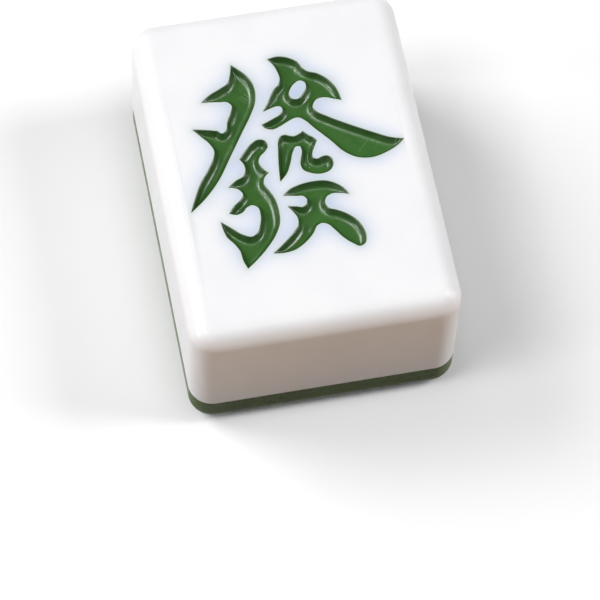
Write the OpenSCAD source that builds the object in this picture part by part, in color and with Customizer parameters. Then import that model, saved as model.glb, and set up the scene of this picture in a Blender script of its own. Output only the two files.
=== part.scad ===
// Two-tone playing tile: an engraved white block cemented to a green back slab.
// The tile lies on its back. X runs across the face, Y runs up the sign and Z rises through the face.
// The origin is the middle of the back. Lengths are in millimetres.

/* [Tile] */
// Width across the face
tile_w = 31; // [30:0.5:40]
// Height of the face, from foot to head
tile_h = 42.5; // [34:0.5:60]
// Radius of the four upright corners
corner_r = 2.8; // [2.7:0.1:6]

/* [Face block] */
// Thickness of the white block
block_t = 15.1; // [8:0.1:24]
// Radius rolled round the edge of the face
face_edge_r = 2.4; // [0.6:0.1:2.6]

/* [Back slab] */
// Thickness of the green slab
slab_t = 4.8; // [3:0.1:9]
// Radius rolled round the edge of the back
back_edge_r = 2.6; // [0.6:0.1:2.6]

/* [Bond] */
// Thickness of the cement film between block and slab
bond_t = 0.1; // [0.05:0.01:0.3]
// How far the film stops short of the sides
bond_inset = 0.03; // [0.01:0.01:0.4]

/* [Sign] */
// Side of the square on which the sign is drawn
sign_size = 25; // [18:0.5:25.5]
// Height of the middle of that square above the middle of the face
sign_raise = 0.7; // [0:0.1:2]
// Depth of the engraving
cut_depth = 0.95; // [0.4:0.05:2]

/* [Enamel] */
// Thickness of the enamel on the floor and walls of the engraving
enamel_t = 0.1; // [0.05:0.01:0.2]
// Bare wall left between the enamel and the face
enamel_drop = 0.05; // [0.02:0.01:0.2]

/* [Hidden] */

// Cuts run this far past the surface they open
overrun = 0.5;
// Straight steps that stand for the curve between two points of an outline
curve_steps = 4;
// Sides of a full circle
$fn = 96;

// Heights of the seam and of the face above the back
seam_z = slab_t + bond_t;
face_z = seam_z + block_t;
// Height of the engraving's floor
floor_z = face_z - cut_depth;

// Colours of the pieces
white = "#f4f3ef";
green = "#46592f";
enamel_green = "#2f6429";
cement = "#8d9660";

// Outlines of the engraved strokes, as shares of the sign's square measured from its middle.
// The curve runs smoothly through every point except a tip, where it turns sharply.
tip = true;

left_foot_shares = [
    [-0.192, 0.518, tip], [-0.162, 0.488], [-0.131, 0.448], [-0.112, 0.400], [-0.110, 0.352],
    [-0.120, 0.306], [-0.150, 0.248], [-0.202, 0.168], [-0.280, 0.048], [-0.360, -0.072],
    [-0.436, -0.152], [-0.505, -0.206, tip], [-0.480, -0.150], [-0.440, -0.072], [-0.382, 0.008],
    [-0.354, 0.058], [-0.347, 0.084], [-0.361, 0.128], [-0.390, 0.168], [-0.423, 0.212, tip],
    [-0.360, 0.199], [-0.314, 0.186, tip], [-0.294, 0.170], [-0.276, 0.182], [-0.260, 0.228],
    [-0.234, 0.278], [-0.226, 0.306], [-0.242, 0.329], [-0.280, 0.337], [-0.358, 0.347, tip],
    [-0.320, 0.376], [-0.260, 0.405], [-0.224, 0.426], [-0.206, 0.464]
];

right_foot_shares = [
    [-0.020, 0.520, tip], [0.024, 0.527], [0.076, 0.511], [0.112, 0.482], [0.127, 0.449],
    [0.148, 0.427], [0.186, 0.410], [0.228, 0.374], [0.257, 0.327], [0.272, 0.253, tip],
    [0.240, 0.265], [0.198, 0.280], [0.164, 0.277], [0.142, 0.256], [0.136, 0.234], [0.148, 0.212],
    [0.190, 0.179], [0.283, 0.118], [0.384, 0.058], [0.452, 0.021], [0.512, 0.003, tip],
    [0.480, -0.023], [0.434, -0.046], [0.338, -0.066], [0.286, -0.054], [0.242, -0.024],
    [0.182, 0.055], [0.124, 0.128], [0.086, 0.178], [0.066, 0.194], [0.046, 0.196], [0.016, 0.186],
    [-0.026, 0.166], [-0.068, 0.154], [-0.096, 0.165], [-0.109, 0.184, tip], [-0.056, 0.205],
    [-0.016, 0.225], [-0.001, 0.246], [-0.006, 0.264], [-0.024, 0.270], [-0.054, 0.264],
    [-0.090, 0.253, tip], [-0.060, 0.294], [-0.038, 0.332], [-0.020, 0.359], [0.004, 0.379],
    [0.016, 0.406], [0.013, 0.448], [0.001, 0.487]
];

// The island left standing inside the right foot
island_shares = [
    [0.102, 0.387], [0.126, 0.372], [0.128, 0.348], [0.108, 0.316], [0.076, 0.290], [0.050, 0.297],
    [0.041, 0.320], [0.052, 0.349], [0.078, 0.376]
];

bow_shares = [
    [-0.140, 0.110], [-0.113, 0.100], [-0.105, 0.072], [-0.121, 0.048], [-0.150, 0.023],
    [-0.161, -0.006], [-0.152, -0.034], [-0.127, -0.066, tip], [-0.149, -0.086], [-0.158, -0.118],
    [-0.142, -0.156], [-0.124, -0.202], [-0.117, -0.268], [-0.124, -0.326], [-0.154, -0.385],
    [-0.206, -0.446], [-0.260, -0.495], [-0.306, -0.530, tip], [-0.319, -0.488], [-0.324, -0.440],
    [-0.340, -0.403], [-0.370, -0.357], [-0.380, -0.314], [-0.383, -0.281, tip], [-0.345, -0.316],
    [-0.296, -0.361], [-0.260, -0.376], [-0.232, -0.362], [-0.212, -0.324], [-0.200, -0.268],
    [-0.205, -0.233], [-0.230, -0.216], [-0.254, -0.223], [-0.280, -0.246], [-0.304, -0.253],
    [-0.337, -0.242, tip], [-0.310, -0.209], [-0.274, -0.181], [-0.259, -0.158], [-0.272, -0.130],
    [-0.316, -0.110, tip], [-0.280, -0.083], [-0.242, -0.065], [-0.228, -0.043], [-0.227, -0.006],
    [-0.242, 0.024, tip], [-0.214, 0.057], [-0.176, 0.094]
];

stool_shares = [
    [-0.038, 0.109], [-0.018, 0.114], [0.004, 0.105], [0.022, 0.100], [0.042, 0.105],
    [0.067, 0.119, tip], [0.088, 0.096], [0.108, 0.079], [0.120, 0.063, tip], [0.104, 0.034],
    [0.088, 0.002], [0.087, -0.024], [0.104, -0.033], [0.128, -0.026], [0.148, -0.024],
    [0.167, -0.036], [0.172, -0.064], [0.156, -0.095], [0.112, -0.110], [0.060, -0.097],
    [0.032, -0.076], [0.026, -0.048], [0.035, -0.014], [0.045, 0.024], [0.040, 0.046],
    [0.020, 0.047], [0.004, 0.026], [-0.019, -0.030], [-0.044, -0.080], [-0.081, -0.118, tip],
    [-0.074, -0.048], [-0.060, 0.044], [-0.051, 0.088]
];

hand_shares = [
    [-0.080, -0.193, tip], [-0.050, -0.169], [-0.004, -0.153], [0.064, -0.145], [0.126, -0.153],
    [0.172, -0.180], [0.196, -0.206], [0.210, -0.234, tip], [0.172, -0.223], [0.136, -0.219],
    [0.107, -0.233], [0.096, -0.262], [0.106, -0.290], [0.140, -0.307], [0.184, -0.335],
    [0.220, -0.373], [0.240, -0.416], [0.245, -0.460], [0.233, -0.494], [0.210, -0.504],
    [0.182, -0.486], [0.144, -0.448], [0.114, -0.403], [0.088, -0.370], [0.064, -0.360],
    [0.042, -0.367], [0.014, -0.404], [-0.032, -0.446], [-0.088, -0.475], [-0.132, -0.480],
    [-0.178, -0.475, tip], [-0.118, -0.429], [-0.068, -0.384], [-0.042, -0.350], [-0.039, -0.316],
    [-0.052, -0.284], [-0.071, -0.253, tip], [-0.036, -0.259], [-0.004, -0.266], [0.013, -0.254],
    [0.020, -0.232], [0.008, -0.211], [-0.024, -0.204]
];

// Row i of a closed outline, counted round from either end
function row(rows, i) = rows[(i + len(rows)) % len(rows)];
function is_tip(rows, i) = len(row(rows, i)) > 2;

// Where that row lies on the face
function place(rows, i) = sign_size * [row(rows, i).x, row(rows, i).y] + [0, sign_raise];

// Length and direction of the chord that leaves point i
function chord_length(rows, i) = norm(place(rows, i + 1) - place(rows, i));
function chord_heading(rows, i) = (place(rows, i + 1) - place(rows, i)) / chord_length(rows, i);

// Heading of the smooth curve at point i: its two chords' headings, led by the shorter chord
function heading(rows, i) =
    let (before = chord_length(rows, i - 1), after = chord_length(rows, i))
    (after * chord_heading(rows, i - 1) + before * chord_heading(rows, i)) / (before + after);

// Heading at the tip end of chord i, when the heading at its other end is known
function tip_heading(rows, i, other) = (3 * chord_heading(rows, i) - other) / 2;

// Headings with which the curve leaves and ends chord i
function start_heading(rows, i) =
    !is_tip(rows, i) ? heading(rows, i) :
    is_tip(rows, i + 1) ? chord_heading(rows, i) : tip_heading(rows, i, heading(rows, i + 1));
function end_heading(rows, i) =
    !is_tip(rows, i + 1) ? heading(rows, i + 1) :
    is_tip(rows, i) ? chord_heading(rows, i) : tip_heading(rows, i, heading(rows, i));

// Point of the curve a part t of the way along chord i
function curve_point(rows, i, t) =
    let (reach = chord_length(rows, i))
    place(rows, i) * (1 + 2 * t) * pow(1 - t, 2) + place(rows, i + 1) * t * t * (3 - 2 * t)
    + reach * start_heading(rows, i) * t * pow(1 - t, 2) - reach * end_heading(rows, i) * t * t * (1 - t);

// The whole closed curve
function curve(rows) = [
    for (i = [0 : len(rows) - 1])
        for (k = [0 : curve_steps - 1]) curve_point(rows, i, k / curve_steps)
];

// Outlines of the five engraved pockets
module left_foot() { polygon(curve(left_foot_shares)); }
module right_foot() {
    difference() {
        polygon(curve(right_foot_shares));
        polygon(curve(island_shares));
    }
}
module bow() { polygon(curve(bow_shares)); }
module stool() { polygon(curve(stool_shares)); }
module hand() { polygon(curve(hand_shares)); }

// Half section of a slab, out to its side, with the upper edge rolled over
module edge_section(reach, thick, edge_r) {
    square([reach, thick - edge_r]);
    square([reach - edge_r, thick]);
    translate([reach - edge_r, thick - edge_r])
        intersection() {
            circle(edge_r);
            square(edge_r);
        }
}

// Straight run of a slab, between two of its rounded corners
module slab_run(width, run, thick, edge_r) {
    rotate([90, 0, 0])
        linear_extrude(run, center = true)
            for (side = [0, 1]) mirror([side, 0]) edge_section(width / 2, thick, edge_r);
}

// Slab with rounded corners that stands on a flat base and has its upper edge rolled over
module slab(thick, edge_r) {
    core_w = tile_w - 2 * corner_r;
    core_h = tile_h - 2 * corner_r;
    slab_run(tile_w, core_h, thick, edge_r);
    rotate(90) slab_run(tile_h, core_w, thick, edge_r);
    for (x = [-1, 1], y = [-1, 1])
        translate([x * core_w / 2, y * core_h / 2])
            mirror([x < 0 ? 1 : 0, 0]) mirror([0, y < 0 ? 1 : 0])
                rotate_extrude(angle = 90) edge_section(corner_r, thick, edge_r);
}

// Plan of the seam, set in from the sides
module seam_plan(inset) {
    core_w = tile_w - 2 * corner_r;
    core_h = tile_h - 2 * corner_r;
    square([tile_w - 2 * inset, core_h], center = true);
    square([core_w, tile_h - 2 * inset], center = true);
    for (x = [-1, 1], y = [-1, 1])
        translate([x * core_w / 2, y * core_h / 2]) circle(corner_r - inset);
}

// Dish of enamel on the floor and walls of one pocket
module enamel() {
    color(enamel_green)
        translate([0, 0, floor_z])
            difference() {
                linear_extrude(cut_depth - enamel_drop) children();
                translate([0, 0, enamel_t]) linear_extrude(cut_depth) offset(delta = -enamel_t) children();
            }
}

module face_block() {
    color(white)
        difference() {
            translate([0, 0, seam_z]) slab(block_t, face_edge_r);
            translate([0, 0, floor_z])
                linear_extrude(cut_depth + overrun) {
                    left_foot();
                    right_foot();
                    bow();
                    stool();
                    hand();
                }
        }
}

module back_slab() {
    color(green) translate([0, 0, slab_t]) rotate([180, 0, 0]) slab(slab_t, back_edge_r);
}

module bond_film() {
    color(cement) translate([0, 0, slab_t]) linear_extrude(bond_t) seam_plan(bond_inset);
}

module enamel_left_foot() { enamel() left_foot(); }
module enamel_right_foot() { enamel() right_foot(); }
module enamel_bow() { enamel() bow(); }
module enamel_stool() { enamel() stool(); }
module enamel_hand() { enamel() hand(); }

face_block();
back_slab();
bond_film();
enamel_left_foot();
enamel_right_foot();
enamel_bow();
enamel_stool();
enamel_hand();
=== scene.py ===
"""A two-tone game tile: an engraved white block, lined with enamel and cemented to a green back.

The tile lies on its back in the frame of its solids, in metres. X runs across the face, Y runs up
the sign and Z rises out of the face.
"""

import logging
from abc import ABC, abstractmethod
from dataclasses import dataclass, field, fields
from enum import Enum
from math import cos, pi, radians, sin
from typing import ClassVar

import bmesh
import bpy
import numpy as np
from mathutils import Matrix, Vector
from mathutils.geometry import delaunay_2d_cdt
from mathutils.kdtree import KDTree


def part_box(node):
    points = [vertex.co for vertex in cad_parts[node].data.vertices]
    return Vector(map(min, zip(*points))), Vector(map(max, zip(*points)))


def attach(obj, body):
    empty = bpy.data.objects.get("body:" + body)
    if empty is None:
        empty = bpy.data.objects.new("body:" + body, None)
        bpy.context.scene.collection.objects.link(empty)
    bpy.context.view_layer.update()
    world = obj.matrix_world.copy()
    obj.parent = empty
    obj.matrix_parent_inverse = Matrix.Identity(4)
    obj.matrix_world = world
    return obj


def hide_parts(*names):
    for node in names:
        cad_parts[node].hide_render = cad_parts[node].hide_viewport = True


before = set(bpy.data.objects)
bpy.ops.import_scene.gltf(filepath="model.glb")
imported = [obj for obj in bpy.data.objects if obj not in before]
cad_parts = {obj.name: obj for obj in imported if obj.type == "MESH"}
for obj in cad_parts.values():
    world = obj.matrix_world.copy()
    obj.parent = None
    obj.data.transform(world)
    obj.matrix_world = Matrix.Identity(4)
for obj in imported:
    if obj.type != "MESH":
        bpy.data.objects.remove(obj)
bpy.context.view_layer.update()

MM = 0.001
WELD = 0.0005 * MM
ROW_RISE = sin(radians(60))
BODY = "root"
LOG = logging.getLogger("tile")

Colour = tuple[float, float, float]
Inputs = dict[int | str, object]


class Node(Enum):
    """The solids of the tile, by what they are."""

    FACE_BLOCK = "face_block"
    BACK_SLAB = "back_slab"
    BOND_FILM = "bond_film"


class Stroke(Enum):
    """The pockets of the sign, by the solid of the enamel that lines each one."""

    LEFT_FOOT = "enamel_left_foot"
    RIGHT_FOOT = "enamel_right_foot"
    BOW = "enamel_bow"
    STOOL = "enamel_stool"
    HAND = "enamel_hand"


class Slot(Enum):
    """The record's material slots."""

    WHITE = "white_melamine"
    GREEN = "green_melamine"
    CEMENT = "cement"
    ENAMEL = "green_enamel"


class Mark(Enum):
    """Attributes that the flat plan of the face passes on to its node trees and materials."""

    RIM = "rim"
    INSIDE = "inside"
    # Painted shade: how much of the sign lies round each point of the white.
    STROKE_SHADE = "sign_painted_shade"
    # Painted shade right beside the rims, fading outward.
    RIM_SHADE = "rim_stain"
    GAP = "rim_gap"


class Graph:
    """Adds nodes to a shader tree or a geometry tree and links them."""

    def __init__(self, tree: bpy.types.NodeTree) -> None:
        """Keep the tree that the nodes go into."""
        self.tree = tree

    def add(self, kind: str, inputs: Inputs | None = None, **settings: object) -> bpy.types.Node:
        """Add one node.

        Args:
            kind: Blender's name for the type of node.
            inputs: A value or a socket for each input, by its name or its place.
            settings: The node's own properties.

        Returns:
            The new node.
        """
        node = self.tree.nodes.new(kind)
        for name, value in settings.items():
            setattr(node, name, value)
        for key, value in (inputs or {}).items():
            if isinstance(value, bpy.types.NodeSocket):
                self.tree.links.new(value, node.inputs[key])
            else:
                node.inputs[key].default_value = value
        return node

    def math(self, operation: str, *values: object, clamp: bool = False) -> bpy.types.NodeSocket:
        """Work out one number with a Math node, held between 0 and 1 where clamp is set."""
        inputs = dict(enumerate(values))
        return self.add("ShaderNodeMath", inputs, operation=operation, use_clamp=clamp).outputs[0]

    def ramp(self, value: object, low: float, high: float, start: float = 0.0, end: float = 1.0,
             smooth: bool = True) -> bpy.types.NodeSocket:
        """Carry a number from one range to another, held at both ends.

        Args:
            value: The number or socket.
            low: Where the range starts.
            high: Where it ends.
            start: The answer at low.
            end: The answer at high.
            smooth: Whether the ends are eased.

        Returns:
            The socket with the answer.
        """
        inputs = {"Value": value, "From Min": low, "From Max": high, "To Min": start, "To Max": end}
        kind = "SMOOTHSTEP" if smooth else "LINEAR"
        return self.add("ShaderNodeMapRange", inputs, interpolation_type=kind).outputs["Result"]

    def blend(self, share: object, first: object, second: object) -> bpy.types.NodeSocket:
        """Mix two colours.

        Args:
            share: How much of the second colour there is.
            first: A colour or socket.
            second: A colour or socket.

        Returns:
            The socket with the mixed colour.
        """
        plain = [c if isinstance(c, bpy.types.NodeSocket) else (*c, 1.0) for c in (first, second)]
        inputs = {0: share, 6: plain[0], 7: plain[1]}
        return self.add("ShaderNodeMix", inputs, data_type="RGBA").outputs[2]


class Recipe(ABC):
    """A Geometry Nodes tree whose named inputs are the fields of a dataclass."""

    SOCKETS: ClassVar[dict[type, str]] = {float: "NodeSocketFloat", int: "NodeSocketInt"}

    @abstractmethod
    def wire(self, graph: Graph, inputs: bpy.types.NodeOutputs) -> bpy.types.NodeSocket:
        """Add the nodes between the tree's inputs and its last two nodes.

        Args:
            graph: The tree to add to.
            inputs: The tree's inputs, by name.

        Returns:
            The socket with the finished geometry.
        """

    def bake(self, start: bpy.types.Mesh, material: bpy.types.Material) -> bpy.types.Mesh:
        """Run the tree on a mesh and keep what comes out.

        Args:
            start: The mesh that goes in.
            material: What the result is made of.

        Returns:
            A plain mesh.
        """
        name = type(self).__name__
        tree = bpy.data.node_groups.new(name, "GeometryNodeTree")
        sides = tree.interface
        sides.new_socket("Geometry", in_out="OUTPUT", socket_type="NodeSocketGeometry")
        sides.new_socket("Geometry", in_out="INPUT", socket_type="NodeSocketGeometry")
        values = {}
        for size in fields(self):
            value = getattr(self, size.name)
            kind = self.SOCKETS[type(value)]
            values[sides.new_socket(size.name, in_out="INPUT", socket_type=kind).identifier] = value
        finish = sides.new_socket("Material", in_out="INPUT", socket_type="NodeSocketMaterial")
        values[finish.identifier] = material
        graph = Graph(tree)
        inputs = graph.add("NodeGroupInput").outputs
        whole = graph.add("GeometryNodeRealizeInstances", {0: self.wire(graph, inputs)}).outputs[0]
        dressed = graph.add("GeometryNodeSetMaterial", {"Geometry": whole, "Material": inputs["Material"]})
        graph.add("NodeGroupOutput", {0: dressed.outputs[0]})
        carrier = bpy.data.objects.new(name, start)
        bpy.context.scene.collection.objects.link(carrier)
        modifier = carrier.modifiers.new(name, "NODES")
        modifier.node_group = tree
        for identifier, value in values.items():
            modifier[identifier] = value
        evaluated = carrier.evaluated_get(bpy.context.evaluated_depsgraph_get())
        result = bpy.data.meshes.new_from_object(evaluated)
        bpy.data.objects.remove(carrier)
        bpy.data.node_groups.remove(tree)
        return result


@dataclass
class SweptShell(Recipe):
    """The side wall and the rolled edge of a slab, swept round its outline, open at both ends.

    The outline is a rectangle with round corners. flat_z is the end that meets the seam and
    rolled_z is the end that the edge rolls over to.
    """

    width: float
    height: float
    corner_r: float
    edge_r: float
    flat_z: float
    rolled_z: float
    corner_steps: int = 40
    edge_steps: int = 18
    side_cuts: int = 11

    def wire(self, graph: Graph, inputs: bpy.types.NodeOutputs) -> bpy.types.NodeSocket:
        """Add the nodes of the sweep.

        Args:
            graph: The tree to add to.
            inputs: The tree's inputs, by name.

        Returns:
            The socket with the open shell.
        """
        way = graph.math("SIGN", graph.math("SUBTRACT", inputs["flat_z"], inputs["rolled_z"]))
        roll_z = graph.math("MULTIPLY_ADD", way, inputs["edge_r"], inputs["rolled_z"])
        path = graph.add("GeometryNodeCurvePrimitiveQuadrilateral",
                         {"Width": inputs["width"], "Height": inputs["height"]}).outputs[0]
        rounded = graph.add("GeometryNodeFilletCurve",
                            {"Curve": path, "Count": inputs["corner_steps"], "Radius": inputs["corner_r"]},
                            mode="POLY").outputs[0]
        upright = graph.add("GeometryNodeSetCurveNormal", {"Curve": rounded}, mode="Z_UP").outputs[0]
        side = graph.add("GeometryNodeCurvePrimitiveLine",
                         {"Start": self.place(graph, 0.0, inputs["flat_z"]),
                          "End": self.place(graph, 0.0, roll_z)}).outputs[0]
        cuts = {"Curve": side, "Cuts": inputs["side_cuts"]}
        side = graph.add("GeometryNodeSubdivideCurve", cuts).outputs[0]
        roll = graph.add("GeometryNodeCurveArc",
                         {"Resolution": inputs["edge_steps"], "Radius": inputs["edge_r"], "Start Angle": 0.0,
                          "Sweep Angle": graph.math("MULTIPLY", way, pi / 2)}).outputs[0]
        inset = graph.math("MULTIPLY", inputs["edge_r"], -1.0)
        roll = graph.add("GeometryNodeTransform",
                         {"Geometry": roll, "Translation": self.place(graph, inset, roll_z)}).outputs[0]
        profile = graph.add("GeometryNodeJoinGeometry", {0: side})
        graph.tree.links.new(roll, profile.inputs[0])
        shell = graph.add("GeometryNodeCurveToMesh", {"Curve": upright, "Profile Curve": profile.outputs[0]})
        return graph.add("GeometryNodeMergeByDistance", {0: shell.outputs[0], "Distance": WELD}).outputs[0]

    @staticmethod
    def place(graph: Graph, out: object, z: object) -> bpy.types.NodeSocket:
        """Give a point of the profile, whose second axis the sweep turns downwards."""
        down = graph.math("MULTIPLY", z, -1.0)
        return graph.add("ShaderNodeCombineXYZ", {"X": out, "Y": down}).outputs[0]


@dataclass
class PocketRecipe(Recipe):
    """What the two trees that shape the sign's pockets have in common.

    The section is that of Groove, and depth is how far its floor lies below the face. Nearer to a
    rim than CRISP_W nothing is eased, and from EASED_W on all is.
    """

    lip_r: float
    wall_slope: float
    foot_w: float
    foot_r: float
    blend_h: float
    depth: float

    CRISP_W: ClassVar[float] = 0.3 * MM
    EASED_W: ClassVar[float] = 0.6 * MM

    @staticmethod
    def attribute(graph: Graph, mark: Mark, kind: str) -> bpy.types.NodeSocket:
        """Read one of the plan's marks, of the given data type."""
        node = graph.add("GeometryNodeInputNamedAttribute", {"Name": mark.value}, data_type=kind)
        return node.outputs["Attribute"]

    def rim_distance(self, graph: Graph, inputs: bpy.types.NodeOutputs) -> bpy.types.NodeSocket:
        """Measure how far a point lies from the nearest rim.

        Args:
            graph: The tree to add to.
            inputs: The tree's inputs, by name.

        Returns:
            The socket with the distance.
        """
        on_rim = self.attribute(graph, Mark.RIM, "BOOLEAN")
        rims = graph.add("GeometryNodeSeparateGeometry",
                         {"Geometry": inputs["Geometry"], "Selection": on_rim}, domain="EDGE").outputs[0]
        return graph.add("GeometryNodeProximity", {0: rims}, target_element="EDGES").outputs["Distance"]

    @staticmethod
    def fall(graph: Graph, distance: object, inputs: bpy.types.NodeOutputs,
             depth: object) -> bpy.types.NodeSocket:
        """Follow the steep wall of a pocket down and round its hollow foot on to the flat floor.

        Args:
            graph: The tree to add to.
            distance: How far in from the top of the wall.
            inputs: The tree's inputs, by name.
            depth: How far the floor lies below the top of the wall.

        Returns:
            The socket with the depth that is reached.
        """
        inward = graph.math("MAXIMUM", distance, 0.0)
        straight = graph.math("MULTIPLY", inward, inputs["wall_slope"])
        short = graph.math("MAXIMUM", graph.math("SUBTRACT", inputs["foot_w"], inward), 0.0)
        twice_r = graph.math("MULTIPLY", inputs["foot_r"], 2.0)
        rise = graph.math("DIVIDE", graph.math("MULTIPLY", short, short), twice_r)
        return graph.math("SMOOTH_MIN", straight, graph.math("SUBTRACT", depth, rise), inputs["blend_h"])

    @staticmethod
    def sunk(graph: Graph, geometry: object, depth: object) -> bpy.types.NodeSocket:
        """Push each point of a mesh down from the face by its depth."""
        down = graph.add("ShaderNodeCombineXYZ", {"Z": graph.math("MULTIPLY", depth, -1.0)}).outputs[0]
        return graph.add("GeometryNodeSetPosition", {"Geometry": geometry, "Offset": down}).outputs[0]

    def softened(self, graph: Graph, depth: object, gap: object,
                 inputs: bpy.types.NodeOutputs) -> bpy.types.NodeSocket:
        """Ease the creases where two feet meet in a narrow pocket, and leave its walls crisp.

        Args:
            graph: The tree to add to.
            depth: The depth to ease.
            gap: How far a point lies from the nearest rim.
            inputs: The tree's inputs, by name.

        Returns:
            The socket with the eased depth.
        """
        inside = self.attribute(graph, Mark.INSIDE, "FLOAT")
        middle = graph.ramp(gap, self.CRISP_W, self.EASED_W)
        return graph.add("GeometryNodeBlurAttribute",
                         {"Value": depth, "Iterations": inputs["soft_turns"],
                          "Weight": graph.math("MULTIPLY", inside, middle)}).outputs[0]


@dataclass
class EngravedFace(PocketRecipe):
    """The flat face of the block with the sign's pockets pressed into it."""

    stain_w: float
    soft_turns: int = 6

    def wire(self, graph: Graph, inputs: bpy.types.NodeOutputs) -> bpy.types.NodeSocket:
        """Add the nodes that sink the pockets and mark the painted shade along their rims.

        Args:
            graph: The tree to add to.
            inputs: The tree's inputs, by name.

        Returns:
            The socket with the engraved block.
        """
        gap = self.rim_distance(graph, inputs)
        inside = self.attribute(graph, Mark.INSIDE, "FLOAT")
        outward = graph.math("MULTIPLY_ADD", inside, 2.0, -1.0)
        reach = graph.math("MULTIPLY", gap, outward)
        lip_x = graph.math("MINIMUM", graph.math("ADD", reach, inputs["lip_r"]), inputs["lip_r"])
        lip_x = graph.math("MAXIMUM", lip_x, 0.0)
        chord = graph.math("SUBTRACT", graph.math("MULTIPLY", inputs["lip_r"], inputs["lip_r"]),
                           graph.math("MULTIPLY", lip_x, lip_x))
        lip = graph.math("SUBTRACT", inputs["lip_r"], graph.math("SQRT", graph.math("MAXIMUM", chord, 0.0)))
        below = graph.math("SUBTRACT", inputs["depth"], inputs["lip_r"])
        depth = graph.math("ADD", lip, self.fall(graph, reach, inputs, below))
        sunk = self.sunk(graph, inputs["Geometry"], self.softened(graph, depth, gap, inputs))
        # Painted shade that fades out from each rim.
        fade = graph.math("MULTIPLY", inputs["stain_w"], -1.0)
        stain = graph.math("EXPONENT", graph.math("DIVIDE", gap, fade))
        return graph.add("GeometryNodeStoreNamedAttribute",
                         {"Geometry": sunk, "Name": Mark.RIM_SHADE.value, "Value": stain}).outputs[0]


@dataclass
class EnamelCoat(PocketRecipe):
    """A closed coat of enamel that follows the walls and the floor of one pocket."""

    drop: float
    floor_t: float
    wall_t: float
    soft_turns: int = 6

    def wire(self, graph: Graph, inputs: bpy.types.NodeOutputs) -> bpy.types.NodeSocket:
        """Add the nodes that make the coat's two sides and weld them along the rim.

        Args:
            graph: The tree to add to.
            inputs: The tree's inputs, by name.

        Returns:
            The socket with the closed coat.
        """
        gap = self.rim_distance(graph, inputs)
        under_fall = graph.math("SUBTRACT", inputs["depth"], inputs["lip_r"])
        under = graph.math("ADD", inputs["lip_r"], self.fall(graph, gap, inputs, under_fall))
        under = graph.math("MAXIMUM", under, inputs["drop"])
        top_gap = graph.math("SUBTRACT", gap, inputs["wall_t"])
        top_fall = graph.math("SUBTRACT", inputs["depth"], inputs["floor_t"])
        top_fall = graph.math("SUBTRACT", top_fall, inputs["drop"])
        over = graph.math("ADD", inputs["drop"], self.fall(graph, top_gap, inputs, top_fall))
        marked = graph.add("GeometryNodeStoreNamedAttribute",
                           {"Geometry": inputs["Geometry"], "Name": Mark.GAP.value, "Value": gap}).outputs[0]
        top = self.sunk(graph, marked, self.softened(graph, over, gap, inputs))
        bottom = self.sunk(graph, marked, self.softened(graph, under, gap, inputs))
        turned = graph.add("GeometryNodeFlipFaces", {0: bottom}).outputs[0]
        both = graph.add("GeometryNodeJoinGeometry", {0: top})
        graph.tree.links.new(turned, both.inputs[0])
        return graph.add("GeometryNodeMergeByDistance", {0: both.outputs[0], "Distance": WELD}).outputs[0]


@dataclass
class Outline:
    """One closed edge of a stroke, sampled evenly, with the stroke on its left.

    Attributes:
        points: The samples, one row each.
        inward: The way into the stroke at each sample.
        tip: Which samples are sharp corners.
    """

    points: np.ndarray
    inward: np.ndarray
    tip: np.ndarray

    TIP_TURN: ClassVar[float] = radians(45)

    @classmethod
    def through(cls, corners: np.ndarray, step: float) -> "Outline":
        """Draw a smooth edge through the corners of a loop, and keep its sharp tips.

        Args:
            corners: The loop's points, in order.
            step: The distance between samples.

        Returns:
            The sampled edge.
        """
        ahead = np.roll(corners, -1, axis=0) - corners
        behind = np.roll(ahead, 1, axis=0)
        cross = behind[:, 0] * ahead[:, 1] - behind[:, 1] * ahead[:, 0]
        turn = np.abs(np.arctan2(cross, (behind * ahead).sum(axis=1)))
        tips = np.flatnonzero(turn > cls.TIP_TURN)
        if len(tips):
            starts = list(tips)
            ends = starts[1:] + [starts[0] + len(corners)]
            spans = [corners[np.arange(a, b + 1) % len(corners)] for a, b in zip(starts, ends)]
            runs = [cls.curve(span, step, 0) for span in spans]
        else:
            margin = 4
            wrapped = corners[np.arange(-margin, len(corners) + margin + 1) % len(corners)]
            runs = [cls.curve(wrapped, step, margin)]
        points = np.vstack(runs)
        tip = np.zeros(len(points), bool)
        if len(tips):
            tip[np.cumsum([0] + [len(run) for run in runs[:-1]])] = True
        along = np.roll(points, -1, axis=0) - np.roll(points, 1, axis=0)
        along /= np.linalg.norm(along, axis=1)[:, None]
        return cls(points, np.column_stack([-along[:, 1], along[:, 0]]), tip)

    def beside(self, offset: float, between: bool) -> np.ndarray:
        """Offset the edge.

        Args:
            offset: How far into the stroke, or out of it if below zero.
            between: Whether to start from the middles between samples, or from the samples that are not tips.

        Returns:
            The points, one row each.
        """
        if not between:
            return (self.points + offset * self.inward)[~self.tip]
        along = np.roll(self.points, -1, axis=0) - self.points
        inward = np.column_stack([-along[:, 1], along[:, 0]]) / np.linalg.norm(along, axis=1)[:, None]
        return self.points + along / 2 + offset * inward

    @staticmethod
    def curve(points: np.ndarray, step: float, margin: int) -> np.ndarray:
        """Sample a smooth curve through points.

        Args:
            points: The points, in order.
            step: The distance between samples.
            margin: How many points at each end only steer the curve.

        Returns:
            The samples, without the last one.
        """
        run = np.concatenate([[0], np.cumsum(np.linalg.norm(np.diff(points, axis=0), axis=1))])
        slope = np.gradient(points, run, axis=0)
        start, end = run[margin], run[len(run) - 1 - margin]
        count = max(2, int(round((end - start) / step)))
        at = np.linspace(start, end, count, endpoint=False)
        i = np.clip(np.searchsorted(run, at, side="right") - 1, 0, len(run) - 2)
        span = run[i + 1] - run[i]
        t = ((at - run[i]) / span)[:, None]
        reach = span[:, None]
        return ((1 + 2 * t) * (1 - t) ** 2 * points[i] + t * (1 - t) ** 2 * reach * slope[i]
                + t ** 2 * (3 - 2 * t) * points[i + 1] + t ** 2 * (t - 1) * reach * slope[i + 1])


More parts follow.
